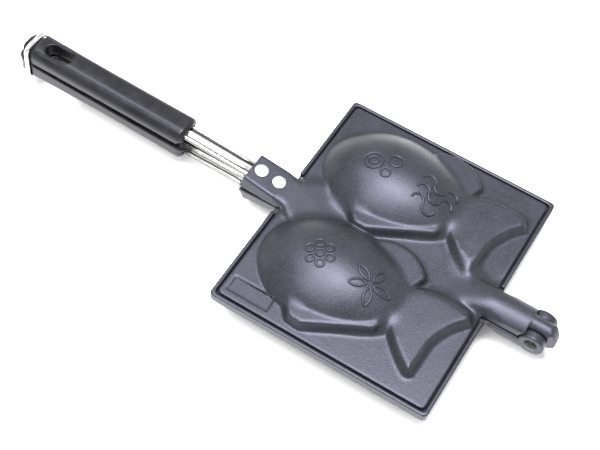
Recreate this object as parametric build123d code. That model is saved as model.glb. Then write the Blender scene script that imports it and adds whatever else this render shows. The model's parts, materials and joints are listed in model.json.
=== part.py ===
"""Taiyaki maker: two cast fish-mould plates on a rear hinge, with a split handle and a wire latch.

X runs from the handle to the hinge and Z is up. The origin is the centre of the object's
footprint on the surface that it rests on. Lengths are in millimetres, angles in degrees.
"""
from build123d import *
from math import cos, radians, sin, sqrt, tan
import os

# Plates
pan_length = 130.0
pan_width = 154.0
rim_width = 2.2
rim_groove = 1.0
rim_corner = 2.5
rim_underside_chamfer = 0.6
lower_wall = 3.4
upper_wall = 2.8
plate_gap = 0.2
rim_gap_handle = 30.0
rim_gap_hinge = 25.0
name_panel_length = 25.5
name_panel_width = 10.0
name_panel_depth = 0.5
name_panel_end_margin = 2.8
name_panel_side_margin = 3.8

# Fish relief, the same on both plates
fish_length = 120.0
fish_spacing = 69.0
fish_stagger = 1.0
fish_wall = 3.2
dome_height = 16.5
dome_half_width = 33.0
dome_nose = 38.7
dome_back = 52.8
dome_peak_x = -20.0
dome_axis_y = 3.0
fin_draft = 24.0
tail_draft = 34.0
fin_wall = 2.6
belly_fin_height = 5.5
belly_fin_corner = 4.0
back_fin_height = 4.0
tail_height = 5.0
pad_flat = 1.6

# Handle brackets cast on the plates
bracket_length = 24.0
bracket_half_end = 9.3
bracket_half_top = 10.1
bracket_half_base = 10.6
bracket_end_lean = 3.0
bracket_edge_round = 1.5
bracket_root_height = 3.3
bracket_end_height = 7.5
bracket_wall = 3.4
bracket_wedge = 1.6
neck_fade = 31.0
neck_half_width = 16.5
neck_flare = 3.0
neck_run = 10.0
neck_half_tip = 8.0

# Hinge
pin_reach = 26.1
pin_radius = 2.5
pin_fit = 0.05
pin_hold = 0.02
pin_head_radius = 3.7
pin_head_height = 1.3
pin_head_round = 0.8
pin_peen_radius = 3.2
pin_peen_height = 0.9
ear_radius = 7.3
ear_thickness = 4.4
lug_half_width = 4.3
hinge_side_gap = 0.3
hinge_swing_gap = 0.5
lug_radius = 11.6
lug_reach = 11.3
lug_drop = 4.3
lug_shoulder = 4.7
lug_end_half = 2.0
lug_end_taper = 4.9
notch_face = 5.1
arm_shoulder = 3.0
arm_crown = 7.0
arm_root = 25.0
arm_rise = 22.0
arm_lift = 1.0
arm_ledge = 0.7
lower_arm_depth = 6.8
lower_arm_round = 2.0
lower_arm_root = 12.0

# Handle
handle_rise = 2.1
tang_exposed = 42.5
grip_length = 103.5
grip_gap_front = 4.4
grip_gap_waist = 3.6
grip_gap_rear = 2.4
grip_half_width = 9.4
grip_waist = 60.0
upper_grip_front = 12.9
upper_grip_waist = 12.5
upper_grip_rear = 13.0
upper_grip_round = 5.5
lower_grip_front = 11.1
lower_grip_waist = 10.6
lower_grip_rear = 12.6
lower_grip_round = 4.5
grip_front_round = 3.0
nose_length = 9.2
lower_nose_extra = 2.8
nose_half_width = 8.2
nose_corner = 6.5
nose_root = 3.0
upper_nose_height = 10.6
upper_nose_tip = 8.0
upper_nose_round = 6.0
lower_nose_height = 12.4
lower_nose_tip = 9.5
lower_nose_round = 3.5
hang_hole_length = 18.5
hang_hole_width = 8.6
hang_hole_inset = 14.3
thumb_flat_length = 22.5
thumb_flat_width = 13.0
thumb_flat_round = 6.0
thumb_flat_drop = 1.4

# Tangs
tang_half_width = 5.4
tang_half_top = 5.0
tang_sheet = 1.2
tang_round = 1.5
tang_inner_round = 0.4
tang_height = 8.4
tang_depth = 2.0
tang_side_gap = 0.4
tang_tab = 20.0
tang_inside = 74.0

# Rivets and grip screws
rivet_radius = 2.2
rivet_head_radius = 4.1
rivet_head_height = 1.2
rivet_head_round = 0.7
rivet_tail_radius = 3.2
rivet_tail_height = 0.8
rivet_fit = 0.02
rivet_front = 5.7
rivet_spacing = 11.4
screw_radius = 1.5
screw_fit = 0.02
screw_head_radius = 2.8
screw_head_height = 1.6
screw_bite = 1.5
screw_depth_spare = 0.2
screw_inset = 14.0

# Latch ring
wire_radius = 1.4
wire_fit = 0.05
ring_side_gap = 0.4
ring_crown_gap = 1.4
ring_face_gap = 0.6
ring_pivot_drop = 9.9
ring_hook = 3.2
ring_hook_bend = 1.9
ring_near_bend = 9.5
ring_far_bend = 4.0

# Levels, from the resting surface up
under_z = dome_height - pad_flat
floor_z = under_z + lower_wall
lid_z = floor_z + plate_gap
top_z = lid_z + upper_wall
mid_z = (floor_z + lid_z) / 2

# Stations along X, measured from the plates' centre
rim_inset = rim_width + rim_groove
bracket_root_x = -pan_length / 2 + rim_width
bracket_end_x = bracket_root_x - bracket_length
pin_x = pan_length / 2 + pin_reach
notch_radius = ear_radius + hinge_swing_gap
slot_root_x = pin_x - lug_radius - hinge_swing_gap
slot_half_width = lug_half_width + hinge_side_gap
arm_half_width = slot_half_width + ear_thickness
ear_half_width = arm_half_width + arm_ledge
grip_front_x = bracket_end_x - tang_exposed
screw_position = tang_inside - screw_inset

# Slopes of the bracket's top and of the handle
bracket_slope = (bracket_end_height - bracket_root_height) / bracket_length
handle_slope = tan(radians(handle_rise))
handle_cos = cos(radians(handle_rise))

# Dome: two arcs turned about an axis below the plate's face
dome_axis_depth = (dome_half_width**2 - dome_height**2) / (2 * dome_height)
dome_peak_radius = dome_axis_depth + dome_height
nose_arc_radius = (dome_nose**2 + dome_height**2) / (2 * dome_height)
back_arc_radius = (dome_back**2 + dome_height**2) / (2 * dome_height)

# The outlines of the fish are drawn in 120ths of its length
fish_unit = fish_length / 120

# Amounts by which cutting solids run past the faces that they open
overcut = 1.0
clear_of_all = 400.0

# A cylinder that stands on its start point
standing = (Align.CENTER, Align.CENTER, Align.MIN)


def handle_mid_z(x):
    """Height of the handle's middle line at X."""
    return mid_z + max(0.0, bracket_end_x - x) * handle_slope


def bracket_top(x):
    """Height of the upper bracket's sloped top above the middle plane at X."""
    return top_z - mid_z + bracket_root_height + (bracket_root_x - x) * bracket_slope


def side_prism(points, half_width):
    """A solid with an XZ outline, centred on the XZ plane."""
    outline = make_face(Polyline(*points, close=True))
    return extrude(Plane.XZ * outline, half_width, both=True)


def plan_prism(points, low, high):
    """A solid with an XY outline between two heights."""
    outline = make_face(Polyline(*points, close=True))
    return Pos(0, 0, low) * extrude(outline, high - low)


def block(x0, x1, half_width, z0, z1):
    """A box centred on the XZ plane."""
    return Pos((x0 + x1) / 2, 0, (z0 + z1) / 2) * Box(x1 - x0, 2 * half_width, z1 - z0)


def slab(margin, low, high, corner):
    """A flat plate set in from the pan's outline by margin."""
    outline = RectangleRounded(pan_length - 2 * margin, pan_width - 2 * margin, corner)
    return Pos(0, 0, low) * extrude(outline, high - low)


def cross_cylinder(radius, half_width, x, z):
    """A cylinder along Y."""
    return Pos(x, 0, z) * Rot(90, 0, 0) * Cylinder(radius, 2 * half_width)


def hood_section(x, base_half, crown_half, base, crown, corner):
    """A YZ section with a flat base and rounded crown corners; the crown may lie below the base."""
    corners = ((-base_half, base), (base_half, base), (crown_half, crown), (-crown_half, crown))
    outline = make_face(Polyline(*corners, close=True))
    rounded = outline.vertices().filter_by(lambda v: abs(v.Y - crown) < abs(v.Y - base))
    return Plane.YZ.offset(x) * fillet(rounded, corner)


# Fish relief. Local Z = 0 is the plate's outer face and +Z points away from the plate.

def dome_body(inset, floor):
    """The belly's round body above floor, with its surface moved inwards by inset."""
    peak = dome_peak_radius - inset
    low = dome_axis_depth + floor
    nose_arc = nose_arc_radius - inset
    back_arc = back_arc_radius - inset
    nose_end = sqrt(nose_arc**2 - (nose_arc - peak + low) ** 2)
    back_end = sqrt(back_arc**2 - (back_arc - peak + low) ** 2)
    nose_mid = (-nose_end / 2, peak - nose_arc + sqrt(nose_arc**2 - nose_end**2 / 4))
    back_mid = (back_end / 2, peak - back_arc + sqrt(back_arc**2 - back_end**2 / 4))
    outline = Curve() + [
        ThreePointArc((-nose_end, low), nose_mid, (0, peak)),
        ThreePointArc((0, peak), back_mid, (back_end, low)),
        Polyline((back_end, low), (back_end, 0), (-nose_end, 0), (-nose_end, low)),
    ]
    body = revolve(Plane.XZ * make_face(outline), Axis.X)
    above = block(-clear_of_all, clear_of_all, clear_of_all, low, clear_of_all)
    return Pos(dome_peak_x, dome_axis_y, -dome_axis_depth) * (body & above)


def spots(*points):
    """Outline points of the fish, drawn in its own unit."""
    return [(x * fish_unit, y * fish_unit) for x, y in points]


def belly_fin():
    """Outline of the raised step under the belly."""
    corners = spots((-36, -20), (-23, -35.5), (-14, -36), (20.5, -17), (24, -9), (10, 4), (-25, 4))
    outline = make_face(Polyline(*corners, close=True))
    outside = outline.vertices().sort_by(Axis.Y)[:-2]
    return fillet(outside, belly_fin_corner)


def back_fin():
    """Outline of the low step behind the back."""
    edges = [
        ThreePointArc(*spots((28.5, 26.5), (12, 38.2), (-7, 34.5))),
        Polyline(*spots((-7, 34.5), (-2, 14), (24, 14), (28.5, 26.5))),
    ]
    return make_face(Curve() + edges)


def tail():
    """Outline of the forked tail."""
    edges = [
        ThreePointArc(*spots((19, -5), (32, -20), (44.5, -29.5))),
        Polyline(*spots((44.5, -29.5), (48.3, -27.5), (49, -7))),
        ThreePointArc(*spots((49, -7), (53, 4.5), (61.3, 15.5))),
        Line(*spots((61.3, 15.5), (58.5, 23))),
        ThreePointArc(*spots((58.5, 23), (41, 25), (19, 17))),
        Line(*spots((19, 17), (19, -5))),
    ]
    return make_face(Curve() + edges)


def fins(inset, floor):
    """The drafted steps above the outer face, with a straight foot that reaches down to floor."""
    shapes = (
        (belly_fin(), belly_fin_height, fin_draft),
        (back_fin(), back_fin_height, fin_draft),
        (tail(), tail_height, tail_draft),
    )
    steps = []
    for outline, height, draft in shapes:
        base = offset(outline, -inset) if inset else outline
        steps.append(extrude(base, height - inset, taper=draft))
        steps.append(extrude(base, floor, dir=(0, 0, 1)))
    return steps


def fish_relief(inset, floor):
    """Both fish of one plate, side by side."""
    fish = [dome_body(inset, floor)]
    fish += fins(min(inset, fin_wall), floor)
    near = [Pos(0, -fish_spacing / 2, 0) * piece for piece in fish]
    far = [Pos(-fish_stagger, fish_spacing / 2, 0) * piece for piece in fish]
    return near + far


def placed(pieces, side):
    """Relief pieces on the upper plate's top (side 1) or the lower plate's underside (side -1)."""
    if side > 0:
        return [Pos(0, 0, top_z) * piece for piece in pieces]
    return [Pos(0, 0, under_z) * mirror(piece, about=Plane.XY) for piece in pieces]


# Handle brackets

def bracket(side):
    """The boss that holds one tang; side is 1 above the middle plane and -1 below it."""
    outer_x = bracket_end_x - bracket_end_lean
    inner_x = bracket_root_x + rim_inset
    sections = []
    for x, lift, half in ((outer_x, bracket_wedge, bracket_half_end), (inner_x, 0.0, bracket_half_top)):
        base = mid_z + side * (plate_gap / 2 + lift)
        crown = mid_z + side * bracket_top(x)
        sections.append(hood_section(x, bracket_half_base, half, base, crown, bracket_edge_round))
    past_x = outer_x - overcut
    past_z = mid_z + side * 2 * bracket_top(bracket_end_x)
    lean_x = bracket_end_x + bracket_end_lean
    end_cut = ((outer_x, mid_z), (lean_x, past_z), (past_x, past_z), (past_x, mid_z))
    return loft(sections) - side_prism(end_cut, clear_of_all)


def neck(side):
    """The flared ramp that runs from the bracket into the plate."""
    start_x = bracket_root_x + rim_inset - overcut
    tip_x = bracket_root_x + neck_fade
    half = bracket_half_base
    plan = (
        (start_x, half),
        (start_x + neck_flare, (half + neck_half_width) / 2),
        (start_x + neck_run, neck_half_width),
        (tip_x, neck_half_tip),
    )
    plan += tuple((x, -y) for x, y in reversed(plan))
    base = mid_z + side * plate_gap / 2
    ramp = (
        (start_x, base),
        (start_x, mid_z + side * bracket_top(start_x)),
        (tip_x, mid_z + side * (top_z - mid_z)),
        (tip_x, base),
    )
    return plan_prism(plan, 0, clear_of_all) & side_prism(ramp, clear_of_all)


def tang_pocket(side):
    """The open hollow in a bracket that the tang's tab lies in."""
    start_x = bracket_end_x - bracket_end_lean - overcut
    end_x = bracket_end_x + tang_tab + tang_side_gap
    outline = (
        (start_x, mid_z),
        (start_x, mid_z + side * (bracket_top(start_x) - bracket_wall)),
        (end_x, mid_z + side * (bracket_top(end_x) - bracket_wall)),
        (end_x, mid_z),
    )
    return side_prism(outline, tang_half_width + tang_side_gap)


# Rivets. Local Z points out of the bracket's sloped top, and Z = 0 is that top.

def rivet_place(position, side):
    """The place of a rivet, at a distance along X from the bracket's end."""
    x = bracket_end_x + position
    crown = Plane(
        origin=(x, 0, mid_z + side * bracket_top(x)),
        x_dir=(1, 0, -side * bracket_slope),
        z_dir=(bracket_slope, 0, side),
    )
    return Location(crown)


def rivet_stack():
    """Thickness that a rivet clamps, along its axis."""
    slope_cos = 1 / sqrt(1 + bracket_slope**2)
    return (bracket_wall + tang_sheet) * slope_cos


def rivet_hole():
    return Pos(0, 0, -rivet_stack() / 2) * Cylinder(rivet_radius + rivet_fit, 2 * rivet_stack())


def rivet():
    """A rivet with a flattened round head outside and a small formed head inside."""
    head = Cylinder(rivet_head_radius, rivet_head_height, align=standing)
    head = fillet(head.edges().sort_by(Axis.Z)[-1:], rivet_head_round)
    shank = Pos(0, 0, -rivet_stack()) * Cylinder(rivet_radius, rivet_stack(), align=standing)
    formed = Cone(rivet_radius, rivet_tail_radius, rivet_tail_height, align=standing)
    return head + shank + Pos(0, 0, -rivet_stack() - rivet_tail_height) * formed


# Plates

def crowned_bar(x0, x1, half_width, base, shoulder, crown):
    """A bar along X with a flat base and an arched top."""
    section = [
        Polyline((half_width, shoulder), (half_width, base), (-half_width, base), (-half_width, shoulder)),
        ThreePointArc((-half_width, shoulder), (0, crown), (half_width, shoulder)),
    ]
    return Pos(x0, 0, 0) * extrude(Plane.YZ * make_face(Curve() + section), x1 - x0)


def lug():
    """The tongue around the pin, with a round top and a tapered end."""
    end_x = pin_x + lug_reach
    taper_x = end_x - lug_end_taper
    start_x = pin_x - lug_radius
    plan = ((start_x, lug_half_width), (taper_x, lug_half_width), (end_x, lug_end_half))
    plan += tuple((x, -y) for x, y in reversed(plan))
    low = mid_z - lug_drop
    shoulder = top_z + lug_shoulder
    body = crowned_bar(start_x, end_x, lug_half_width, low, shoulder, top_z + arm_crown)
    body &= cross_cylinder(lug_radius, lug_half_width, pin_x, mid_z)
    return body & plan_prism(plan, 0, clear_of_all)


def upper_arm():
    """The hinge arm of the upper plate, which narrows to the lug around the pin."""
    start_x = pan_length / 2 - arm_root
    crown_x = start_x + arm_rise
    base = lid_z + arm_lift
    crown_z = top_z + arm_crown
    bar = crowned_bar(start_x, pin_x, arm_half_width, base, top_z + arm_shoulder, crown_z)
    profile = ((start_x, base), (start_x, top_z), (crown_x, crown_z), (pin_x, crown_z), (pin_x, base))
    arm = bar & side_prism(profile, clear_of_all)
    notch = cross_cylinder(notch_radius, clear_of_all, pin_x, mid_z)
    notch += block(pin_x - notch_face, clear_of_all, clear_of_all, -clear_of_all, clear_of_all)
    arm -= notch - block(-clear_of_all, clear_of_all, lug_half_width, -clear_of_all, clear_of_all)
    arm &= block(-clear_of_all, pin_x - notch_face, clear_of_all, 0, clear_of_all)
    bore = cross_cylinder(pin_radius + pin_fit, clear_of_all, pin_x, mid_z)
    return arm + lug() - bore


def lower_arm():
    """The hinge arm of the lower plate, which forks into two ears around the lug."""
    start_x = pan_length / 2 - lower_arm_root
    low = mid_z - lower_arm_depth
    section = hood_section(start_x, ear_half_width, ear_half_width, floor_z, low, lower_arm_round)
    bar = extrude(section, pin_x - start_x)
    profile = (
        (start_x, floor_z),
        (start_x, under_z),
        (start_x + lower_arm_root / 2, low),
        (pin_x, low),
        (pin_x, floor_z),
    )
    arm = bar & side_prism(profile, clear_of_all)
    arm += cross_cylinder(ear_radius, ear_half_width, pin_x, mid_z)
    arm -= block(slot_root_x, clear_of_all, slot_half_width, -clear_of_all, clear_of_all)
    return arm - cross_cylinder(pin_radius + pin_hold, clear_of_all, pin_x, mid_z)


def name_panel():
    """The sunken blank panel in the corner by the handle."""
    x = -pan_length / 2 + rim_inset + name_panel_end_margin + name_panel_length / 2
    y = -pan_width / 2 + rim_inset + name_panel_side_margin + name_panel_width / 2
    return Pos(x, y, top_z) * Box(name_panel_length, name_panel_width, 2 * name_panel_depth)


def upper_plate():
    plate = slab(rim_inset, lid_z, top_z, rim_corner) - name_panel()
    plate += placed(fish_relief(0.0, -overcut), 1)
    plate += [bracket(1), neck(1), upper_arm()]
    plate -= placed(fish_relief(fish_wall, -upper_wall - overcut), 1)
    plate -= tang_pocket(1)
    for position in (rivet_front, rivet_front + rivet_spacing):
        plate -= rivet_place(position, 1) * rivet_hole()
    return plate


def lower_plate():
    base = slab(0.0, under_z, top_z, rim_corner)
    base = chamfer(base.faces().sort_by(Axis.Z)[0].edges(), rim_underside_chamfer)
    base -= slab(rim_width, floor_z, top_z + overcut, rim_corner)
    base -= block(-clear_of_all, 0, rim_gap_handle / 2, floor_z, top_z + overcut)
    base -= block(0, clear_of_all, rim_gap_hinge / 2, floor_z, top_z + overcut)
    base += placed(fish_relief(0.0, -overcut), -1)
    base += [bracket(-1), neck(-1), lower_arm()]
    base -= placed(fish_relief(fish_wall, -lower_wall - overcut), -1)
    base -= tang_pocket(-1)
    for position in (rivet_front, rivet_front + rivet_spacing):
        base -= rivet_place(position, -1) * rivet_hole()
    return base - block(-clear_of_all, clear_of_all, clear_of_all, -clear_of_all, 0)


def hinge_pin():
    """The pin along Y, with a domed head on the near side and a peened end on the far side."""
    body = Cylinder(pin_radius, 2 * ear_half_width)
    head = Cylinder(pin_head_radius, pin_head_height, align=standing)
    head = fillet(head.edges().sort_by(Axis.Z)[-1:], pin_head_round)
    peen = Cone(pin_peen_radius, pin_radius, pin_peen_height, align=standing)
    body += Pos(0, 0, ear_half_width) * head
    body += Pos(0, 0, -ear_half_width) * Rot(180, 0, 0) * peen
    return Pos(pin_x, 0, mid_z) * Rot(90, 0, 0) * body


# Handle. Local X runs from the grip's front to the ring, and local Z = 0 is the handle's middle.

def handle_place():
    sine = sin(radians(handle_rise))
    origin = (grip_front_x, 0, handle_mid_z(grip_front_x))
    return Location(Plane(origin=origin, x_dir=(-handle_cos, 0, sine), z_dir=(sine, 0, handle_cos)))


def tang_hood(side, drop):
    """The tang's outside (drop 0) or its hollow (drop equal to the sheet)."""
    spare = overcut if drop else 0.0
    crowns = (
        (bracket_end_x + tang_tab, bracket_top(bracket_end_x + tang_tab) - bracket_wall),
        (bracket_end_x, bracket_top(bracket_end_x) - bracket_wall),
        (grip_front_x, tang_height / handle_cos),
        (grip_front_x - tang_inside * handle_cos, tang_height / handle_cos),
    )
    corner = max(tang_round - drop, tang_inner_round)
    sections = []
    for x, crown in crowns:
        low = handle_mid_z(x) + side * (crown - tang_depth - spare)
        high = handle_mid_z(x) + side * (crown - drop)
        sections.append(hood_section(x, tang_half_width - drop, tang_half_top - drop, low, high, corner))
    return loft(sections, ruled=True)


def tang(side):
    """A pressed channel, riveted in the bracket and screwed in the grip."""
    channel = tang_hood(side, 0.0) - tang_hood(side, tang_sheet)
    for position in (rivet_front, rivet_front + rivet_spacing):
        channel -= rivet_place(position, side) * rivet_hole()
    hole = Cylinder(screw_radius + screw_fit, clear_of_all)
    return channel - handle_place() * Pos(screw_position, 0, 0) * hole


def nose(side):
    """The tongue at the grip's end that the ring drops over."""
    if side > 0:
        base, length = grip_gap_rear, nose_length
        height, tip, corner = upper_nose_height, upper_nose_tip, upper_nose_round
    else:
        base, length = 0.0, nose_length + lower_nose_extra
        height, tip, corner = lower_nose_height, lower_nose_tip, lower_nose_round
    root_x = grip_length - nose_root
    tip_x = grip_length + length
    half = nose_half_width
    outline = (
        (root_x, 0),
        (root_x, side * height),
        (grip_length, side * height),
        (tip_x, side * tip),
        (tip_x, 0),
    )
    section = hood_section(root_x, half, half, side * base, side * height, corner)
    shape = extrude(section, length + nose_root) & side_prism(outline, clear_of_all)
    plan = Pos(grip_length, 0, 0) * RectangleRounded(2 * length, 2 * half, nose_corner)
    return shape & extrude(plan, clear_of_all, both=True)


def grip_shell(side):
    """The outside of a grip half, waisted between its ends."""
    if side > 0:
        heights = (upper_grip_front, upper_grip_waist, upper_grip_rear)
        bases = (grip_gap_front, grip_gap_waist, grip_gap_rear)
        corner = upper_grip_round
    else:
        heights = (lower_grip_front, lower_grip_waist, lower_grip_rear)
        bases = (0.0, 0.0, 0.0)
        corner = lower_grip_round
    half = grip_half_width
    sections = []
    for x, base, height in zip((0.0, grip_waist, grip_length), bases, heights):
        sections.append(hood_section(x, half, half, side * base, side * height, corner))
    return loft(sections)


def grip(side):
    """One half of the handle: a moulded shell with a hanging hole and a nose."""
    body = grip_shell(side)
    body = fillet(body.faces().sort_by(Axis.X)[0].edges(), grip_front_round)
    rear = upper_grip_rear if side > 0 else lower_grip_rear
    flat = RectangleRounded(2 * thumb_flat_length, thumb_flat_width, thumb_flat_round)
    body -= Pos(grip_length, 0, side * (rear - thumb_flat_drop)) * extrude(flat, side * clear_of_all)
    body += nose(side)
    hollow_end = tang_inside + tang_side_gap
    crown = side * tang_height
    hollow = ((-overcut, 0), (-overcut, crown), (hollow_end, crown), (hollow_end, 0))
    body -= side_prism(hollow, tang_half_width + tang_side_gap)
    hole = extrude(SlotOverall(hang_hole_length, hang_hole_width), clear_of_all, both=True)
    body -= Pos(grip_length - hang_hole_inset, 0, 0) * hole
    depth = tang_height + screw_bite + screw_depth_spare
    body -= Pos(screw_position, 0, 0) * Cylinder(screw_radius + screw_fit, 2 * depth)
    if side < 0:
        pivot_x = grip_length + ring_face_gap + wire_radius
        body -= cross_cylinder(wire_radius + wire_fit, clear_of_all, pivot_x, -ring_pivot_drop)
    return handle_place() * body


def grip_screw(side):
    """The screw that holds the grip on its tang, put in from the inside."""
    seat = tang_height - tang_sheet
    head = Cylinder(screw_head_radius, screw_head_height, align=standing)
    shank = Cylinder(screw_radius, tang_sheet + screw_bite, align=standing)
    screw = Pos(0, 0, seat - screw_head_height) * head + Pos(0, 0, seat) * shank
    if side < 0:
        screw = mirror(screw, about=Plane.XY)
    return handle_place() * Pos(screw_position, 0, 0) * screw


def latch_ring():
    """The wire bail: hooks in the lower nose, two legs and a crown over the upper nose."""
    ring_x = grip_length + ring_face_gap + wire_radius
    half = nose_half_width + ring_side_gap + wire_radius
    crown = upper_nose_height + ring_crown_gap + wire_radius
    pivot = -ring_pivot_drop
    bend = ring_hook_bend
    hook_end = nose_half_width - ring_hook
    far = [
        Line((hook_end, pivot), (half - bend, pivot)),
        CenterArc((half - bend, pivot + bend), bend, -90, 90),
        Line((half, pivot + bend), (half, crown - ring_far_bend)),
        CenterArc((half - ring_far_bend, crown - ring_far_bend), ring_far_bend, 0, 90),
        Line((half - ring_far_bend, crown), (ring_near_bend - half, crown)),
    ]
    near = [
        CenterArc((ring_near_bend - half, crown - ring_near_bend), ring_near_bend, 90, 90),
        Line((-half, crown - ring_near_bend), (-half, pivot + bend)),
        CenterArc((bend - half, pivot + bend), bend, 180, 90),
        Line((bend - half, pivot), (-hook_end, pivot)),
    ]
    path = Plane.YZ * (Curve() + far + near)
    section = Plane(origin=(0, hook_end, pivot), z_dir=(0, 1, 0)) * Circle(wire_radius)
    wire = sweep(section, path=path)
    return handle_place() * Pos(ring_x, 0, 0) * wire


nodes = {
    "lower_plate": lower_plate(),
    "upper_plate": upper_plate(),
    "hinge_pin": hinge_pin(),
    "upper_tang": tang(1),
    "lower_tang": tang(-1),
    "upper_grip": grip(1),
    "lower_grip": grip(-1),
    "upper_rivet_front": rivet_place(rivet_front, 1) * rivet(),
    "upper_rivet_rear": rivet_place(rivet_front + rivet_spacing, 1) * rivet(),
    "lower_rivet_front": rivet_place(rivet_front, -1) * rivet(),
    "lower_rivet_rear": rivet_place(rivet_front + rivet_spacing, -1) * rivet(),
    "upper_grip_screw": grip_screw(1),
    "lower_grip_screw": grip_screw(-1),
    "latch_ring": latch_ring(),
}

first_x = min(shape.bounding_box().min.X for shape in nodes.values())
last_x = max(shape.bounding_box().max.X for shape in nodes.values())
centred = Pos(-(first_x + last_x) / 2, 0, 0)

os.makedirs("parts", exist_ok=True)
for name, shape in nodes.items():
    placed_shape = centred * shape
    placed_shape.label = name
    export_step(placed_shape, os.path.join("parts", name + ".step"))
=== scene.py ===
import json
import math

import bmesh
import bpy
import numpy as np
from mathutils import Matrix, Vector
from mathutils.bvhtree import BVHTree


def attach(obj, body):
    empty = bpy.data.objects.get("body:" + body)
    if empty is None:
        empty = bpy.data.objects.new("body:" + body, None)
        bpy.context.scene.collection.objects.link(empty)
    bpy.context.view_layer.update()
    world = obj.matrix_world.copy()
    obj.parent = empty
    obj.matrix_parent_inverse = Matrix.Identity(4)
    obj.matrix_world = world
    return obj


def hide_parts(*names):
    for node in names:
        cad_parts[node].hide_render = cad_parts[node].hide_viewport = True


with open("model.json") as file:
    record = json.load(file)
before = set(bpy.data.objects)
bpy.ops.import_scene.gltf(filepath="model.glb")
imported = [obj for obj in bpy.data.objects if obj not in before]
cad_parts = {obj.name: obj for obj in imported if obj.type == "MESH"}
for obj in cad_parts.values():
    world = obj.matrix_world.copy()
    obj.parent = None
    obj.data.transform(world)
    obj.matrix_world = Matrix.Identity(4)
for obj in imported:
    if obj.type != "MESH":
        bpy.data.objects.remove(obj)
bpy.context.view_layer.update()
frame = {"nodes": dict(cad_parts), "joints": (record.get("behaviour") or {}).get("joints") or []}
print("frame loaded")

mm = 0.001

# millimetres: levels are from the floor, and places along X from the middle of the plates
layout = {
    "pinReach": 91.1,  # from the middle of the plates to the pin
    "lidLevel": 18.5,
    "floorLevel": 18.3,
    "midLevel": 18.4,
    "fishSpacing": 69.0,
    "fishStagger": 1.0,  # the far fish lies this much nearer to the handle
    "bracketEnd": -86.8,
    "bracketTop": 10.4,  # above the middle plane at the bracket's end
    "bracketSlope": 0.175,
    "bracketWall": 3.4,
    "handleRise": 2.1,  # degrees
    "gripFront": -129.3,
}
pinPlace = Vector(frame["joints"][0]["pos_m"])
plateMiddle = pinPlace.x / mm - layout["pinReach"]

camera = {
    "fromMiddle": (113.23, -350.53),  # millimetres from the middle of the plates
    "height": 595.87,
    "turn": (32.76, -3.79, 31.42),  # degrees about X, Y and Z
    "lens": 75.6,
    "shift": (0.0012, -0.0008),
    "sensor": 36.0,
    "nearest": 10.0,
}


def setCamera():
    data = bpy.data.cameras.new("camera")
    data.lens = camera["lens"]
    data.sensor_width = camera["sensor"]
    data.shift_x, data.shift_y = camera["shift"]
    data.clip_start = camera["nearest"] * mm
    seen = bpy.data.objects.new("camera", data)
    bpy.context.scene.collection.objects.link(seen)
    awayX, awayY = camera["fromMiddle"]
    seen.location = ((plateMiddle + awayX) * mm, awayY * mm, camera["height"] * mm)
    seen.rotation_euler = [math.radians(angle) for angle in camera["turn"]]
    bpy.context.scene.camera = seen


setCamera()
print("camera set")


def setInputs(tree, made, inputs):
    # each input is linked to another node's output, or given a plain value
    for title, value in inputs.items():
        if isinstance(value, bpy.types.NodeSocket):
            tree.links.new(value, made.inputs[title])
        else:
            made.inputs[title].default_value = value


def node(tree, kind, inputs=None, **settings):
    made = tree.nodes.new(kind)
    for key, value in settings.items():
        setattr(made, key, value)
    setInputs(tree, made, inputs or {})
    return made


def newMaterial(name):
    made = bpy.data.materials.new(name)
    made.use_nodes = True
    tree = made.node_tree
    tree.nodes.clear()
    shader = node(tree, "ShaderNodeBsdfPrincipled")
    node(tree, "ShaderNodeOutputMaterial", {"Surface": shader.outputs[0]})
    return made, tree, shader


def newGroup(name, inputs, outputs):
    # inputs: name -> default number; outputs: names of plain numbers
    made = bpy.data.node_groups.new(name, "ShaderNodeTree")
    for title, value in inputs.items():
        socket = made.interface.new_socket(title, in_out="INPUT", socket_type="NodeSocketFloat")
        socket.default_value = value
    for title in outputs:
        made.interface.new_socket(title, in_out="OUTPUT", socket_type="NodeSocketFloat")
    return made, node(made, "NodeGroupInput").outputs, node(made, "NodeGroupOutput")


def objectPlace(tree):
    return node(tree, "ShaderNodeTexCoord").outputs["Object"]


def noise(tree, place, scale, detail, rough):
    inputs = {"Vector": place, "Scale": scale, "Detail": detail, "Roughness": rough}
    return node(tree, "ShaderNodeTexNoise", inputs).outputs["Fac"]


def mapped(tree, value, fromRange=(0.0, 1.0), toRange=(0.0, 1.0)):
    made = node(tree, "ShaderNodeMapRange", {"Value": value})
    setInputs(tree, made, {"From Min": fromRange[0], "From Max": fromRange[1]})
    setInputs(tree, made, {"To Min": toRange[0], "To Max": toRange[1]})
    return made.outputs["Result"]


def maths(tree, operation, *values):
    return node(tree, "ShaderNodeMath", dict(enumerate(values)), operation=operation).outputs[0]


def blendColours(tree, factor, first, second, **settings):
    inputs = {0: factor, 6: first, 7: second}  # the node's own places for a mix of colours
    return node(tree, "ShaderNodeMix", inputs, data_type="RGBA", **settings).outputs[2]


def bump(tree, height, distance):
    return node(tree, "ShaderNodeBump", {"Height": height, "Distance": distance})


# the skin of a sprayed casting or a moulding: broad clouds, pits, a fine grain, and specks where a lighter
# colour is painted in as glints
skinShape = {
    "cloudNoise": (5.0, 0.6),  # detail and roughness
    "cloudRange": (0.32, 0.68),
    "grainNoise": (3.0, 0.65),
    "glintSpeckRange": (0.5, 0.68),
    "pitRange": (0.1, 0.42),
    "pitShare": 0.5,
}


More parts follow.
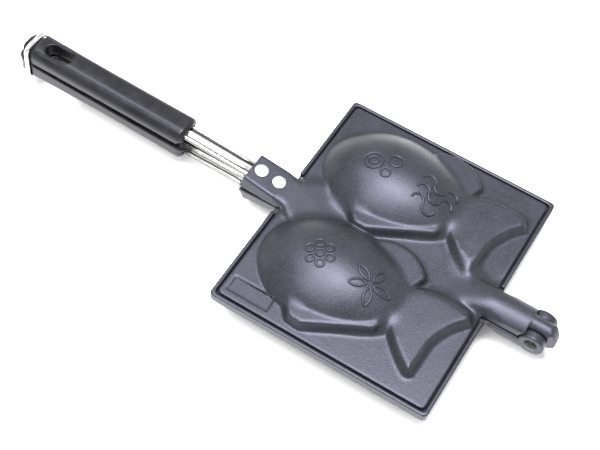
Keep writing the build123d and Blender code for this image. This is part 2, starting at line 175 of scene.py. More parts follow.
def makeCastSkin():
    shape = skinShape
    inputs = {"Cloud Scale": 60.0, "Grain Scale": 1800.0}
    tree, given, out = newGroup("castSkin", inputs, ("Cloud", "Grain", "Pits", "GlintSpecks"))
    place = objectPlace(tree)
    cloud = noise(tree, place, given["Cloud Scale"], *shape["cloudNoise"])
    grain = noise(tree, place, given["Grain Scale"], *shape["grainNoise"])
    cells = node(tree, "ShaderNodeTexVoronoi", {"Vector": place, "Scale": given["Grain Scale"]})
    pits = mapped(tree, cells.outputs["Distance"], shape["pitRange"])
    setInputs(tree, out, {
        "Cloud": mapped(tree, cloud, shape["cloudRange"]),
        "Grain": grain,
        "Pits": maths(tree, "MULTIPLY", pits, shape["pitShare"]),
        "GlintSpecks": mapped(tree, grain, shape["glintSpeckRange"]),
    })
    return tree


# fine lines along X left by rolling, drawing or polishing metal, and smudges
streakShape = {
    "streakNoise": (4.0, 0.6),  # detail and roughness
    "streakRange": (0.3, 0.7),
    "smudgeNoise": (3.0, 0.5),
    "smudgeRange": (0.4, 0.7),
    "smudgeScale": 120.0,
}


def makeDrawnStreaks():
    shape = streakShape
    tree, given, out = newGroup("drawnStreaks", {"Scale": 500.0, "Stretch": 0.04}, ("Streak", "Smudge"))
    place = objectPlace(tree)
    along = node(tree, "ShaderNodeCombineXYZ", {"X": given["Stretch"], "Y": 1.0, "Z": 1.0}).outputs[0]
    drawn = node(tree, "ShaderNodeVectorMath", {0: place, 1: along}, operation="MULTIPLY").outputs[0]
    streak = noise(tree, drawn, given["Scale"], *shape["streakNoise"])
    smudge = noise(tree, place, shape["smudgeScale"], *shape["smudgeNoise"])
    setInputs(tree, out, {
        "Streak": mapped(tree, streak, shape["streakRange"]),
        "Smudge": mapped(tree, smudge, shape["smudgeRange"]),
    })
    return tree


castSkin = makeCastSkin()
drawnStreaks = makeDrawnStreaks()


def placeSkin(tree, look):
    inputs = {"Cloud Scale": look["cloudScale"], "Grain Scale": look["grainScale"]}
    return node(tree, "ShaderNodeGroup", inputs, node_tree=castSkin).outputs


# the dark non-stick coating of both castings, with lighter specks painted in as glints; heights in metres
coating = {
    "dark": (0.009, 0.009, 0.011, 1),
    "pale": (0.016, 0.016, 0.02, 1),
    "glintSpeck": (0.027, 0.027, 0.034, 1),
    "rough": (0.33, 0.41),
    "cloudScale": 55.0,
    "grainScale": 1150.0,
    "grainHeight": 0.00009,
    "pitHeight": 0.00004,
    "specular": 0.42,
    "tint": (0.76, 0.75, 1.0, 1),
}


def coatingMaterial():
    look = coating
    made, tree, shader = newMaterial("castCoating")
    skin = placeSkin(tree, look)
    ground = blendColours(tree, skin["Cloud"], look["dark"], look["pale"])
    grain = bump(tree, skin["Grain"], look["grainHeight"])
    pits = bump(tree, skin["Pits"], look["pitHeight"])
    setInputs(tree, pits, {"Normal": grain.outputs["Normal"]})
    # the specks lighten the base colour as painted glints
    setInputs(tree, shader, {
        "Base Color": blendColours(tree, skin["GlintSpecks"], ground, look["glintSpeck"]),
        "Roughness": mapped(tree, skin["Cloud"], toRange=look["rough"]),
        "Normal": pits.outputs["Normal"],
        "Specular IOR Level": look["specular"],
        "Specular Tint": look["tint"],
    })
    return made


# the black moulding of the grips; heights in metres
phenolic = {
    "dark": (0.007, 0.007, 0.008, 1),
    "pale": (0.014, 0.014, 0.016, 1),
    "rough": (0.2, 0.3),
    "cloudScale": 90.0,
    "grainScale": 700.0,
    "grainHeight": 0.00001,
    "specular": 0.24,
    "tint": (0.82, 0.83, 1.0, 1),
}


def phenolicMaterial():
    look = phenolic
    made, tree, shader = newMaterial("gripPhenolic")
    skin = placeSkin(tree, look)
    setInputs(tree, shader, {
        "Base Color": blendColours(tree, skin["Cloud"], look["dark"], look["pale"]),
        "Roughness": mapped(tree, skin["Cloud"], toRange=look["rough"]),
        "Normal": bump(tree, skin["Grain"], look["grainHeight"]).outputs["Normal"],
        "Specular IOR Level": look["specular"],
        "Specular Tint": look["tint"],
    })
    return made


# metals: two tones, the range of roughness, and the scale and stretch of the streaks
metals = {
    "tangPlating": {
        "dark": (0.72, 0.72, 0.71, 1), "pale": (0.9, 0.9, 0.89, 1),
        "rough": (0.12, 0.22), "scale": 500.0, "stretch": 0.04,
    },
    "rivetMetal": {
        "dark": (0.34, 0.34, 0.33, 1), "pale": (0.62, 0.62, 0.6, 1),
        "rough": (0.3, 0.42), "scale": 700.0, "stretch": 1.0,
    },
    "ringWire": {
        "dark": (0.52, 0.52, 0.52, 1), "pale": (0.74, 0.74, 0.74, 1),
        "rough": (0.16, 0.26), "scale": 700.0, "stretch": 1.0,
    },
    "pinSteel": {
        "dark": (0.012, 0.012, 0.013, 1), "pale": (0.034, 0.034, 0.037, 1),
        "rough": (0.2, 0.32), "scale": 800.0, "stretch": 1.0,
    },
    "screwSteel": {
        "dark": (0.45, 0.45, 0.44, 1), "pale": (0.62, 0.62, 0.6, 1),
        "rough": (0.25, 0.35), "scale": 800.0, "stretch": 1.0,
    },
}
metalWear = {"smudge": 0.06, "height": 0.000004}  # a smudge's roughness, a streak's height in metres

# painted reflection and shade bands across the pressed strip: millimetres from its middle, lightness
tangPaintedBands = (
    (-5.4, 0.08), (-5.0, 0.3), (-4.85, 0.95), (-4.0, 0.95), (-3.8, 0.3), (-2.2, 0.26), (-1.9, 0.85),
    (-1.0, 0.95), (-0.85, 0.06), (-0.6, 0.95), (1.05, 0.95), (1.3, 0.1), (3.0, 0.05), (3.3, 0.6),
    (4.1, 0.75), (4.4, 0.25), (5.4, 0.12),
)


# multiplies the painted reflection and shade bands, laid across Y, into the colour
def paintedBandColour(tree, colour, paintedBands):
    reach = paintedBands[-1][0]
    across = node(tree, "ShaderNodeSeparateXYZ", {0: objectPlace(tree)}).outputs["Y"]
    ramp = node(tree, "ShaderNodeValToRGB", {"Fac": mapped(tree, across, (-reach * mm, reach * mm))})
    stops = ramp.color_ramp.elements
    while len(stops) < len(paintedBands):
        stops.new(0.5)
    for stop, (y, light) in zip(stops, paintedBands):
        stop.position = (y + reach) / (2 * reach)
        stop.color = (light, light, light, 1)
    return blendColours(tree, 1.0, colour, ramp.outputs["Color"], blend_type="MULTIPLY")


def metalMaterial(name, paintedBands=None):
    look = metals[name]
    made, tree, shader = newMaterial(name)
    inputs = {"Scale": look["scale"], "Stretch": look["stretch"]}
    drawn = node(tree, "ShaderNodeGroup", inputs, node_tree=drawnStreaks).outputs
    colour = blendColours(tree, drawn["Streak"], look["dark"], look["pale"])
    # the tang's light and dark stripes are painted reflections and shade
    if paintedBands:
        colour = paintedBandColour(tree, colour, paintedBands)
    rough = mapped(tree, drawn["Streak"], toRange=look["rough"])
    setInputs(tree, shader, {
        "Base Color": colour,
        "Roughness": maths(tree, "MULTIPLY_ADD", drawn["Smudge"], metalWear["smudge"], rough),
        "Normal": bump(tree, drawn["Streak"], metalWear["height"]).outputs["Normal"],
        "Metallic": 1.0,
    })
    return made


castCoating = coatingMaterial()
gripPhenolic = phenolicMaterial()
tangPlating = metalMaterial("tangPlating", tangPaintedBands)
rivetMetal = metalMaterial("rivetMetal")
ringWire = metalMaterial("ringWire")
pinSteel = metalMaterial("pinSteel")
screwSteel = metalMaterial("screwSteel")

finishes = {
    "lower_plate": castCoating, "upper_plate": castCoating, "hinge_pin": pinSteel,
    "upper_tang": tangPlating, "lower_tang": tangPlating,
    "upper_grip": gripPhenolic, "lower_grip": gripPhenolic,
    "upper_rivet_front": rivetMetal, "upper_rivet_rear": rivetMetal,
    "lower_rivet_front": rivetMetal, "lower_rivet_rear": rivetMetal,
    "upper_grip_screw": screwSteel, "lower_grip_screw": screwSteel, "latch_ring": ringWire,
}


def setFinish(mesh, finish):
    mesh.materials.clear()
    mesh.materials.append(finish)


for nodeName, finish in finishes.items():
    setFinish(frame["nodes"][nodeName].data, finish)
print("materials made")


def addPiece(name, mesh, finish):
    setFinish(mesh, finish)
    piece = bpy.data.objects.new(name, mesh)
    bpy.context.scene.collection.objects.link(piece)
    return piece


def standFor(piece, body, nodeName):
    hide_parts(nodeName)
    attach(piece, body)


def shownMesh(piece):
    # the piece's mesh with its modifiers or its bevel
    return bpy.data.meshes.new_from_object(piece.evaluated_get(bpy.context.evaluated_depsgraph_get()))


def applyModifiers(piece):
    made = shownMesh(piece)
    piece.modifiers.clear()
    piece.data = made


def meshFrom(bm, name):
    mesh = bpy.data.meshes.new(name)
    bm.to_mesh(mesh)
    bm.free()
    return mesh


def smoothFaces(mesh):
    mesh.polygons.foreach_set("use_smooth", [True] * len(mesh.polygons))


def meshPlaces(mesh, kind="co"):
    found = np.empty(len(mesh.vertices) * 3, dtype=np.float32)
    mesh.vertices.foreach_get(kind, found)
    return found.reshape(-1, 3)


softening = {"factor": 0.5, "levels": 5, "mergeWithin": 0.01}


def voxelCopy(nodeName, pieceName, voxel, finish):
    # a copy of a CAD node in even small faces, which can be softened
    bm = bmesh.new()
    bm.from_mesh(frame["nodes"][nodeName].data)
    bmesh.ops.remove_doubles(bm, verts=bm.verts, dist=softening["mergeWithin"] * mm)
    piece = addPiece(pieceName, meshFrom(bm, pieceName), finish)
    remesh = piece.modifiers.new("remesh", "REMESH")
    remesh.mode = "VOXEL"
    remesh.voxel_size = voxel * mm
    applyModifiers(piece)
    return piece


def relax(piece, passes, chosen=None):
    # rounds the edges of a dense mesh; chosen holds a share from 0 to 1 for each vertex
    smooth = piece.modifiers.new("relax", "SMOOTH")
    smooth.factor = softening["factor"]
    smooth.iterations = passes
    if chosen is not None:
        group = piece.vertex_groups.new(name="relaxed")
        levels = softening["levels"]
        for level in range(1, levels + 1):
            found = np.nonzero(np.ceil(chosen * levels) == level)[0]
            group.add(found.tolist(), level / levels, "REPLACE")
        smooth.vertex_group = group.name
    applyModifiers(piece)


def finishCopy(piece, triangles, finish):
    # thins the copy out to this many triangles
    count = sum(len(face.vertices) - 2 for face in piece.data.polygons)
    if count > triangles:
        fewer = piece.modifiers.new("fewer", "DECIMATE")
        fewer.ratio = triangles / count
        applyModifiers(piece)
    smoothFaces(piece.data)
    setFinish(piece.data, finish)


casting = {
    "voxel": 0.55,
    "passes": 2,
    "triangles": 185000,
    "grooveWidth": 0.9,
    "grooveDepth": 0.55,
    "grooveRise": 1.2,  # grooves start this far above the lips
    "grooveFacing": -0.15,  # and only on faces that turn inwards by this much
}

# where and how far the sharp edges are rounded: x and y range from the middle of the plates,
# the number of passes, the height above the lips from which they work, and the fading border
softAreas = (
    {"x": (-58.0, 58.0), "y": (-70.0, 70.0), "passes": 26, "rise": 0.7, "border": 0.5},
    {"x": (-68.0, -26.0), "y": (-20.0, 20.0), "passes": 110, "rise": 2.4, "border": 6.0},  # bracket's root
    {"x": (30.0, 72.0), "y": (-17.0, 17.0), "passes": 300, "rise": 2.4, "border": 7.0},  # hinge arm's root
    {"x": (5.0, 35.0), "y": (-47.0, -17.0), "passes": 260, "rise": 3.3, "border": 7.0},  # near tail's root
    {"x": (4.0, 34.0), "y": (22.0, 52.0), "passes": 260, "rise": 3.3, "border": 7.0},  # far tail's root
    {"x": (-42.0, -16.0), "y": (-64.0, -45.0), "passes": 120, "rise": 3.3, "border": 5.0},  # near head's side
    {"x": (-43.0, -17.0), "y": (5.0, 24.0), "passes": 120, "rise": 3.3, "border": 5.0},  # far head's side
)
panelArea = {"x": (-61.0, -32.0), "y": (-72.0, -58.0)}  # the sunken panel keeps its edges

# engraved lines inside the moulds, which stand proud on the cake, in millimetres from
# the fish's middle: centre x, centre y, radius, first angle, last angle
insideArcs = (
    (-39.0, 8.0, 3.0, 0, 360),
    (-39.0, 8.0, 1.0, 0, 360),
    (-46.0, 2.0, 19.0, -52, 52),
    (-46.0, 2.0, 21.5, -46, 46),
)
scaleRows = {
    "firstX": -18.0,
    "stepX": 7.0,
    "columns": 6,
    "mostRows": 5,
    "middleY": 2.5,
    "stepY": 8.0,
    "radius": 4.0,
    "sweep": (90, 270),
}
tailRays = {
    "fromX": 32.0,
    "toX": 50.0,
    "centreY": 4.0,
    "slopes": (-0.9, -0.55, -0.2, 0.2, 0.55, 0.9),
    "fromSpread": 5,
    "toSpread": 19,
}


def arcDistance(u, v, arc):
    centreX, centreY, radius, first, last = arc
    du, dv = u - centreX, v - centreY
    away = np.hypot(du, dv)
    middle = math.radians((first + last) / 2)
    halfSweep = math.radians((last - first) / 2)
    turn = np.abs((np.arctan2(dv, du) - middle + math.pi) % (2 * math.pi) - math.pi)
    along = np.abs(away - radius)
    past = np.clip(turn - halfSweep, 0, math.pi)
    return np.where(turn <= halfSweep, along, np.hypot(along, 2 * radius * np.sin(past / 2)))


def lineDistance(u, v, start, end):
    du, dv = end[0] - start[0], end[1] - start[1]
    share = np.clip(((u - start[0]) * du + (v - start[1]) * dv) / (du * du + dv * dv), 0, 1)
    return np.hypot(u - start[0] - share * du, v - start[1] - share * dv)


def scaleArcs():
    rows = scaleRows
    arcs = []
    for column in range(rows["columns"]):
        x = rows["firstX"] + column * rows["stepX"]
        count = rows["mostRows"] - column // 2
        for row in range(count):
            y = rows["middleY"] + (row - (count - 1) / 2 + 0.5 * (column % 2)) * rows["stepY"]
            arcs.append((x, y, rows["radius"], *rows["sweep"]))
    return arcs


def insideDistance(u, v):
    nearest = np.full(u.shape, np.inf)
    for arc in list(insideArcs) + scaleArcs():
        nearest = np.minimum(nearest, arcDistance(u, v, arc))
    rays = tailRays
    for slope in rays["slopes"]:
        start = (rays["fromX"], rays["centreY"] + rays["fromSpread"] * slope)
        end = (rays["toX"], rays["centreY"] + rays["toSpread"] * slope)
        nearest = np.minimum(nearest, lineDistance(u, v, start, end))
    return nearest


def grooveShape(away, width):
    # one at the line's middle, easing to nothing at its foot
    share = np.clip(1.5 - away / width, 0, 1)
    return share * share * (3 - 2 * share)


def lipLevel(side):
    # side is 1 for the upper plate, whose fish rise, and -1 for the lower one
    return layout["lidLevel"] if side > 0 else layout["floorLevel"]


def fishShift(sign):
    # from the middle of the plates to the fish's; sign is 1 for the far fish and -1 for the near one
    return -layout["fishStagger"] if sign > 0 else 0.0, sign * layout["fishSpacing"] / 2


def engrave(mesh, side):
    places = meshPlaces(mesh)
    facing = meshPlaces(mesh, "normal")[:, 2] * side
    x, y, z = (places / mm).T
    inside = (facing < casting["grooveFacing"]) & ((z - lipLevel(side)) * side > casting["grooveRise"])
    for sign in (-1, 1):
        shiftX, shiftY = fishShift(sign)
        u = x - plateMiddle - shiftX
        v = y - shiftY
        sunk = grooveShape(insideDistance(u, v), casting["grooveWidth"]) * casting["grooveDepth"]
        places[:, 2] += np.where(inside & (y * sign > 0), sunk, 0) * side * mm
    mesh.vertices.foreach_set("co", places.ravel())
    mesh.update()


def areaShare(mesh, area, side):
    # one well inside the area, falling to nothing at its border
    (left, right), (near, far) = area["x"], area["y"]
    x, y, z = (meshPlaces(mesh) / mm).T
    x = x - plateMiddle
    inset = np.minimum(np.minimum(x - left, right - x), np.minimum(y - near, far - y))
    share = np.clip(inset / area["border"], 0, 1)
    share[(z - lipLevel(side)) * side <= area["rise"]] = 0
    (left, right), (near, far) = panelArea["x"], panelArea["y"]
    share[(x > left) & (x < right) & (y > near) & (y < far)] = 0
    return share


def softCasting(nodeName, pieceName, body, side):
    piece = voxelCopy(nodeName, pieceName, casting["voxel"], castCoating)
    relax(piece, casting["passes"])
    for area in softAreas:
        relax(piece, area["passes"], areaShare(piece.data, area, side))
    engrave(piece.data, side)
    finishCopy(piece, casting["triangles"], castCoating)
    standFor(piece, body, nodeName)
    return piece


softCasting("lower_plate", "lowerCasting", "lower_half", -1)
print("lower casting made")
upperCasting = softCasting("upper_plate", "upperCasting", "upper_half", 1)
print("upper casting made")

# raised strokes on the outside of the upper moulds, in millimetres from the fish's middle
strokes = {
    "radius": 0.75,
    "step": 0.6,  # from one point of a path to the next
    "fewest": 4,
    "roundness": 3,
    "dropFrom": 100.0,  # the paths drop onto the casting from this level
}
flower = {"x": -25.0, "y": 2.0, "petals": 6, "reach": 6.2, "ring": 2.2}
sprig = {"x": 6.0, "y": 2.0, "turns": (75, 0, -75, 150, -150), "radius": 7.0, "half": 45, "gap": 2.0}
rings = ((-30.0, 1.0, 5.2), (-30.0, 1.0, 2.4), (-19.0, 6.5, 3.8), (-20.5, -3.0, 2.6))  # x, y, radius
waves = {"startX": 2.0, "radius": 3.6, "crests": ((7.0, 3), (0.0, 3), (-7.0, 2)), "steps": 16}

# the border of the panel in the near corner, from the middle of the plates
panelFrame = {"x": (-58.2, -34.3), "y": (-69.2, -60.8), "corner": 1.2, "cornerSteps": 4, "radius": 0.4}


def arcPath(x, y, radius, first=0, last=360):
    # the path's points, and whether it is closed
    count = max(strokes["fewest"], int(math.radians(last - first) * radius / strokes["step"]))
    closed = last - first == 360
    turns = [math.radians(first + (last - first) * step / count) for step in range(count + 1 - closed)]
    return [(x + radius * math.cos(turn), y + radius * math.sin(turn)) for turn in turns], closed


def flowerPaths():
    # a ring in the middle and a ring for each petal
    x, y, reach, ring = flower["x"], flower["y"], flower["reach"], flower["ring"]
    paths = [arcPath(x, y, ring)]
    for petal in range(flower["petals"]):
        angle = math.radians(360 * petal / flower["petals"])
        paths.append(arcPath(x + reach * math.cos(angle), y + reach * math.sin(angle), ring))
    return paths


def leafPaths(turn):
    # a leaf of two arcs that points along the angle turn
    radius, half = sprig["radius"], sprig["half"]
    angle = math.radians(turn)
    offset = radius * math.cos(math.radians(half))
    reach = radius * math.sin(math.radians(half)) + sprig["gap"]
    middleX, middleY = sprig["x"] + reach * math.cos(angle), sprig["y"] + reach * math.sin(angle)
    acrossX, acrossY = -math.sin(angle) * offset, math.cos(angle) * offset
    return [
        arcPath(middleX - acrossX, middleY - acrossY, radius, turn + 90 - half, turn + 90 + half),
        arcPath(middleX + acrossX, middleY + acrossY, radius, turn - 90 - half, turn - 90 + half),
    ]


def wavePaths():
    # half circles in turn above and below each row's line
    paths = []
    for y, crests in waves["crests"]:
        points = []
        for crest in range(crests):
            centre = waves["startX"] + 2 * waves["radius"] * crest
            side = 1 if crest % 2 == 0 else -1
            for step in range(min(crest, 1), waves["steps"] + 1):
                turn = math.pi * (1 - step / waves["steps"])
                awayX, awayY = waves["radius"] * math.cos(turn), side * waves["radius"] * math.sin(turn)
                points.append((centre + awayX, y + awayY))
        paths.append((points, False))
    return paths


def panelPath():
    (left, right), (near, far) = panelFrame["x"], panelFrame["y"]
    corner, steps = panelFrame["corner"], panelFrame["cornerSteps"]
    points = []
    corners = ((right, far, 0), (left, far, 90), (left, near, 180), (right, near, 270))
    for x, y, turn in corners:
        middleX = x - math.copysign(corner, x - (left + right) / 2)
        middleY = y - math.copysign(corner, y - (near + far) / 2)
        for step in range(steps + 1):
            angle = math.radians(turn + 90 / steps * step)
            points.append((middleX + corner * math.cos(angle), middleY + corner * math.sin(angle)))
    return points, True


def makeStrokes(name, paths, radius, shift=(0.0, 0.0)):
    # round strokes that lie on the upper casting, half sunk in it
    surface = BVHTree.FromObject(upperCasting, bpy.context.evaluated_depsgraph_get())
    data = bpy.data.curves.new(name, "CURVE")
    data.dimensions = "3D"
    data.bevel_depth = radius * mm
    data.bevel_resolution = strokes["roundness"]
    data.use_fill_caps = True
    for points, closed in paths:
        line = data.splines.new("POLY")
        line.points.add(len(points) - 1)
        for point, (x, y) in zip(line.points, points):
            x, y = x + shift[0], y + shift[1]
            above = Vector(((plateMiddle + x) * mm, y * mm, strokes["dropFrom"] * mm))
            hit = surface.ray_cast(above, Vector((0, 0, -1)))[0]
            point.co = (*hit, 1)
        line.use_cyclic_u = closed
    source = bpy.data.objects.new(name, data)
    bpy.context.scene.collection.objects.link(source)
    mesh = shownMesh(source)
    bpy.data.objects.remove(source)
    smoothFaces(mesh)
    piece = addPiece(name, mesh, castCoating)
    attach(piece, "upper_half")


nearPaths = flowerPaths()
for turn in sprig["turns"]:
    nearPaths += leafPaths(turn)
farPaths = [arcPath(*ring) for ring in rings] + wavePaths()
makeStrokes("nearMotifs", nearPaths, strokes["radius"], fishShift(-1))
makeStrokes("farMotifs", farPaths, strokes["radius"], fishShift(1))
makeStrokes("panelFrame", [panelPath()], panelFrame["radius"])
print("strokes made")

moulding = {
    "voxel": 0.42,
    "passes": 5,
    "triangles": 90000,
    "crown": 1.1,  # how far the grip's back falls away at its sides
    "halfWidth": 9.5,
    "fromMiddle": 4.0,  # it starts this far above the handle's middle plane
    "grows": 6.0,  # and is full this much higher
}


def handleMiddle(x):
    # the handle's middle above the middle plane of the plates: it rises behind the bracket
    return np.maximum(0.0, layout["bracketEnd"] - x) * math.tan(math.radians(layout["handleRise"]))


def crownGrip(piece, side):
    shape = moulding
    places = meshPlaces(piece.data)
    x, y, z = (places / mm).T
    above = (z - layout["midLevel"] - handleMiddle(x - plateMiddle)) * side - shape["fromMiddle"]
    share = np.clip(above / shape["grows"], 0, 1)
    places[:, 2] -= side * share * shape["crown"] * np.minimum(1.0, np.abs(y) / shape["halfWidth"]) ** 2 * mm
    piece.data.vertices.foreach_set("co", places.ravel())
    piece.data.update()


def softMoulding(nodeName, pieceName, body, side):
    piece = voxelCopy(nodeName, pieceName, moulding["voxel"], gripPhenolic)
    relax(piece, moulding["passes"])
    crownGrip(piece, side)
    finishCopy(piece, moulding["triangles"], gripPhenolic)
    standFor(piece, body, nodeName)


softMoulding("lower_grip", "lowerGrip", "lower_half", -1)
softMoulding("upper_grip", "upperGrip", "upper_half", 1)
print("grips made")

tangShape = {
    "columns": 220,
    "rows": 60,
    "crowding": 0.96,  # of the rows towards the rounded edges
    "sheet": 1.0,
    "tab": 20.0,
    "inside": 74.0,
    "tabGap": 0.2,
    "insideGap": 0.6,
    "crown": 8.4,  # of the part in the grip, above the middle plane
    "halfWidth": 5.3,
    "edgeDrop": 1.9,
    "edgeRound": 1.5,
    "creaseY": -0.9,
    "creaseDepth": 0.5,
    "creaseWidth": 0.4,
    "ribs": ((2.2, 1.3), (-2.6, 1.2)),  # middle and half width of each pressed valley
    "ribDepth": 0.7,
    "ribSteepness": 1.6,
    "fadeStart": 2.0,  # the pressing starts this far from the bracket
    "fadeLength": 10.0,  # and is full after this length
}


def tangCrown(x):
    # the outer face's height above the handle's middle
    end, grip = layout["bracketEnd"], layout["gripFront"]
    root = layout["bracketTop"] - layout["bracketWall"]
    if x > end:
        return root - (x - end) * layout["bracketSlope"]
    if x > grip:
        return root + (tangShape["crown"] - root) * (end - x) / (end - grip)
    return tangShape["crown"]


def ease(value):
    share = min(1.0, max(0.0, value))
    return share * share * (3 - 2 * share)


def tangDepth(x, y):
    # depth below the crown at y: pressed valleys, a crease between them and turned-down edges
    shape = tangShape
    depth = 0.0
    for middle, half in shape["ribs"]:
        depth = max(depth, shape["ribDepth"] * ease(shape["ribSteepness"] * (1 - abs(y - middle) / half)))
    depth += shape["creaseDepth"] * math.exp(-(((y - shape["creaseY"]) / shape["creaseWidth"]) ** 2))
    depth *= ease((layout["bracketEnd"] - shape["fadeStart"] - x) / shape["fadeLength"])
    past = abs(y) - (shape["halfWidth"] - shape["edgeRound"])
    if past > 0:
        reach = min(1.0, past / shape["edgeRound"])
        depth += shape["edgeDrop"] * (1 - math.sqrt(max(0.0, 1 - reach * reach)))
    return depth


def makeTang(nodeName, pieceName, body, side):
    shape = tangShape
    bm = bmesh.new()
    bmesh.ops.create_grid(bm, x_segments=shape["columns"], y_segments=shape["rows"], size=1.0)
    start = layout["bracketEnd"] + shape["tab"] - shape["tabGap"]
    end = layout["gripFront"] - shape["inside"] + shape["insideGap"]
    widest = math.sin(math.pi / 2 * shape["crowding"])
    for vert in bm.verts:
        x = start + (end - start) * (vert.co.x + 1) / 2
        y = shape["halfWidth"] * math.sin(vert.co.y * math.pi / 2 * shape["crowding"]) / widest
        z = layout["midLevel"] + handleMiddle(x) + side * (tangCrown(x) - tangDepth(x, y))
        vert.co = Vector(((plateMiddle + x) * mm, y * mm, z * mm))
    bmesh.ops.recalc_face_normals(bm, faces=bm.faces)
    if sum(face.normal.z for face in bm.faces) * side < 0:
        bmesh.ops.reverse_faces(bm, faces=bm.faces)
    piece = addPiece(pieceName, meshFrom(bm, pieceName), tangPlating)
    solid = piece.modifiers.new("sheet", "SOLIDIFY")
    solid.thickness = shape["sheet"] * mm
    solid.offset = -1.0
    applyModifiers(piece)
    smoothFaces(piece.data)
    standFor(piece, body, nodeName)


makeTang("upper_tang", "upperTang", "upper_half", 1)
makeTang("lower_tang", "lowerTang", "lower_half", -1)
print("tangs made")


def spinProfile(points, steps=64):
    # a closed solid of revolution about Z from (radius, height) points, both ends on the axis
    bm = bmesh.new()
    chain = [bm.verts.new((radius * mm, 0, height * mm)) for radius, height in points]
    edges = [bm.edges.new(pair) for pair in zip(chain, chain[1:])]
    bmesh.ops.spin(
        bm, geom=chain + edges, cent=(0, 0, 0), axis=(0, 0, 1), angle=2 * math.pi, steps=steps,
        use_merge=True,
    )
    bmesh.ops.remove_doubles(bm, verts=bm.verts, dist=0.000001)
    bmesh.ops.recalc_face_normals(bm, faces=bm.faces)
    return bm


def domeArc(radius, height, shoulder, top, steps=8):
    # points from a round shoulder up to the middle of a shallow dome
    inner, foot = radius - shoulder, height - shoulder
    found = []
    for step in range(steps + 1):
        angle = math.pi / 2 * step / steps
        found.append((inner + shoulder * math.cos(angle), foot + shoulder * math.sin(angle)))
    for step in range(1, steps + 1):
        share = step / steps
        found.append((inner * (1 - share), height + top * (1 - (1 - share) ** 2)))
    return found


def finishSpin(bm, name, turn, place, finish):
    bmesh.ops.transform(bm, matrix=Matrix.Translation(place) @ turn, verts=bm.verts)
    mesh = meshFrom(bm, name)
    smoothFaces(mesh)
    return addPiece(name, mesh, finish)


rivetShape = {
    "firstX": 5.7,  # from the bracket's end
    "spacing": 11.4,
    "headRadius": 4.1,
    "headHeight": 1.2,
    "headEdge": 0.15,
    "shoulder": 0.7,
    "dome": 0.25,
    "shankRadius": 2.2,
    "tailRadius": 3.2,
    "tailHeight": 0.8,
    "tailLip": 0.15,
    "tailTaper": 0.1,
    "grip": 4.53,  # thickness of what the rivet holds
    "bevel": 0.08,
    "crispAngle": 50,  # degrees, from which an edge is bevelled
}


def makeRivet(nodeName, pieceName, body, side, position):
    shape = rivetShape
    head, shank, tail, grip = shape["headRadius"], shape["shankRadius"], shape["tailRadius"], shape["grip"]
    profile = [
        (0.0, -grip - shape["tailHeight"]),
        (shank, -grip - shape["tailHeight"]),
        (tail, -grip - shape["tailLip"]),
        (tail - shape["tailTaper"], -grip),
        (shank, -grip),
        (shank, 0.0),
        (head - shape["headEdge"], 0.0),
        (head, shape["headEdge"]),
    ]
    profile += domeArc(head, shape["headHeight"] - shape["dome"], shape["shoulder"], shape["dome"])
    bm = spinProfile(profile)
    sharp = math.radians(shape["crispAngle"])
    crisp = [edge for edge in bm.edges if edge.is_manifold and edge.calc_face_angle(0) > sharp]
    bmesh.ops.bevel(
        bm, geom=crisp, offset=shape["bevel"] * mm, affect="EDGES", segments=2, profile=0.5, material=-1,
    )
    height = layout["midLevel"] + side * (layout["bracketTop"] - position * layout["bracketSlope"])
    tilt = math.atan(layout["bracketSlope"])
    turn = Matrix.Rotation(tilt if side > 0 else math.pi - tilt, 4, "Y")
    place = Vector(((plateMiddle + layout["bracketEnd"] + position) * mm, 0, height * mm))
    piece = finishSpin(bm, pieceName, turn, place, rivetMetal)
    standFor(piece, body, nodeName)


for side, half in ((1, "upper"), (-1, "lower")):
    for where, offset in (("front", 0.0), ("rear", rivetShape["spacing"])):
        makeRivet(
            half + "_rivet_" + where,
            half + where.capitalize() + "Rivet",
            half + "_half",
            side,
            rivetShape["firstX"] + offset,
        )
print("rivets made")

pinShape = {
    "radius": 2.5,
    "earHalf": 9.6,
    "headRadius": 3.7,
    "headHeight": 1.3,
    "rimShare": 0.55,  # of the head's height
    "domeShare": 0.45,
    "shoulder": 0.6,
    "peenRadius": 3.2,
    "peenHeight": 0.9,
    "peenEdge": 0.2,
    "dishRadius": 1.4,
    "dishShare": 0.7,  # of the peened end's height that is left in its middle
}


def makePin():
    shape = pinShape
    radius, ear, head, peen = shape["radius"], shape["earHalf"], shape["headRadius"], shape["peenRadius"]
    profile = [
        (0.0, -ear - shape["peenHeight"] * shape["dishShare"]),
        (shape["dishRadius"], -ear - shape["peenHeight"]),
        (radius, -ear - shape["peenHeight"]),
        (peen, -ear - shape["peenEdge"]),
        (peen, -ear),
        (radius, -ear),
        (radius, ear),
        (head, ear),
    ]
    rim, dome = shape["headHeight"] * shape["rimShare"], shape["headHeight"] * shape["domeShare"]
    profile += domeArc(head, ear + rim, shape["shoulder"], dome)
    turn = Matrix.Rotation(math.pi / 2, 4, "X")
    piece = finishSpin(spinProfile(profile), "hingePin", turn, pinPlace, pinSteel)
    standFor(piece, "lower_half", "hinge_pin")


makePin()
print("pin made")

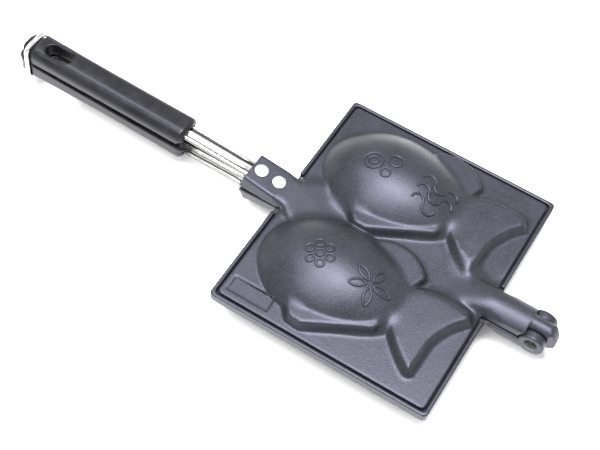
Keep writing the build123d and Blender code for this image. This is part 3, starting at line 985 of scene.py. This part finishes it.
studio = {
    "white": (1, 1, 1, 1),
    "worldStrength": 0.85,
    "floorColour": (0.97, 0.97, 0.97, 1),
    "floorRough": 0.9,
    "floorSize": 4.0,
    "lampAim": (0.02, 0, 0.02),
}
lamps = (
    # name, place, size, power
    ("key", (0.08, 0.06, 0.95), 0.45, 17.5),
    ("left", (-0.45, 0.1, 0.9), 0.35, 4.0),
    ("front", (-0.1, -0.36, 0.9), 0.5, 9.0),
)


def setFloor():
    bm = bmesh.new()
    bmesh.ops.create_grid(bm, x_segments=1, y_segments=1, size=studio["floorSize"] / 2)
    floorPaper, tree, shader = newMaterial("floorPaper")
    setInputs(tree, shader, {"Base Color": studio["floorColour"], "Roughness": studio["floorRough"]})
    addPiece("floor", meshFrom(bm, "floor"), floorPaper)


def setWorld():
    # lights the pan evenly, and shows plain white to the camera, in gloss and through glass
    world = bpy.data.worlds.new("studio")
    bpy.context.scene.world = world
    world.use_nodes = True
    tree = world.node_tree
    tree.nodes.clear()
    lit, shown = [
        node(tree, "ShaderNodeBackground", {"Color": studio["white"], "Strength": strength}).outputs[0]
        for strength in (studio["worldStrength"], 1.0)
    ]
    ray = node(tree, "ShaderNodeLightPath").outputs
    seen = maths(tree, "MAXIMUM", ray["Is Camera Ray"], ray["Is Glossy Ray"])
    seen = maths(tree, "MAXIMUM", seen, ray["Is Transmission Ray"])
    mix = node(tree, "ShaderNodeMixShader", {0: seen, 1: lit, 2: shown})
    node(tree, "ShaderNodeOutputWorld", {"Surface": mix.outputs[0]})


def addLamp(name, place, size, power):
    data = bpy.data.lights.new(name, "AREA")
    data.shape = "SQUARE"
    data.size = size
    data.energy = power
    lamp = bpy.data.objects.new(name, data)
    bpy.context.scene.collection.objects.link(lamp)
    lamp.location = place
    aim = Vector(studio["lampAim"]) - Vector(place)
    lamp.rotation_euler = aim.to_track_quat("-Z", "Y").to_euler()


setFloor()
setWorld()
for lamp in lamps:
    addLamp(*lamp)
bpy.context.scene.view_settings.view_transform = "Standard"
print("stage set")
